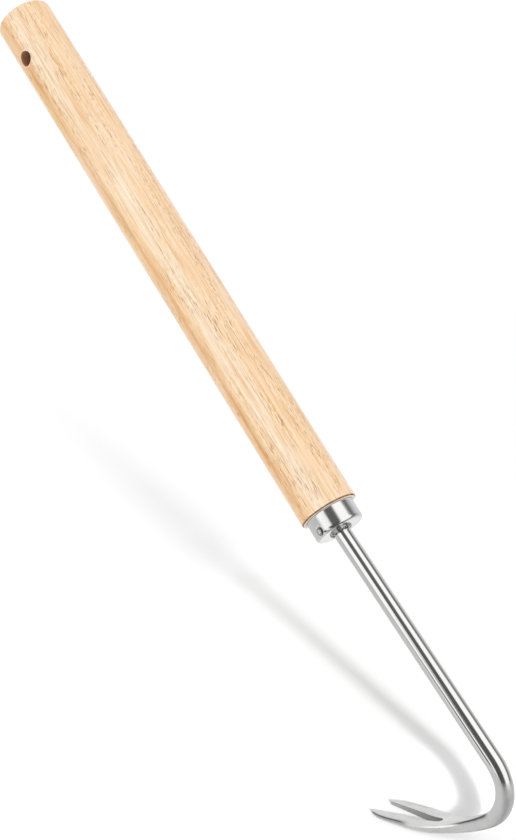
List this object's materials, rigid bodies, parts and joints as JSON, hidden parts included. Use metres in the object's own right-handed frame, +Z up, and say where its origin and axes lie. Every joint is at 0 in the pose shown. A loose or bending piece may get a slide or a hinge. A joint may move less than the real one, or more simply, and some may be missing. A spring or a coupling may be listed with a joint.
{
  "type": "hook weeder",
  "caption": "Hand weeding hook: straight round wooden handle with a hanging hole, metal ferrule, and a bent steel rod flattened into a forked, two-tine blade.",
  "frame": {"origin": "on the ground plane, under the middle of the tool's bounding box", "axes": "+Z up, square to the ground the tines lie flat on; tines point to -X and the handle leans over them; +Y along the hanging hole, square to the plane of the bend"},
  "size_m": [0.2542, 0.024, 0.3213],
  "materials": {
    "wood": "satin, pale straight-grained hardwood",
    "ferrule_steel": "polished stainless",
    "pin_steel": "satin",
    "shank_steel": "polished rod, satin forged blade",
    "weld_steel": "rippled weld"
  },
  "bodies": {
    "root": {"handle": "wood", "ferrule": "ferrule_steel", "ferrule_pin": "pin_steel", "forked_shank": "shank_steel", "weld_bead": "weld_steel"}
  },
  "joints": []
}
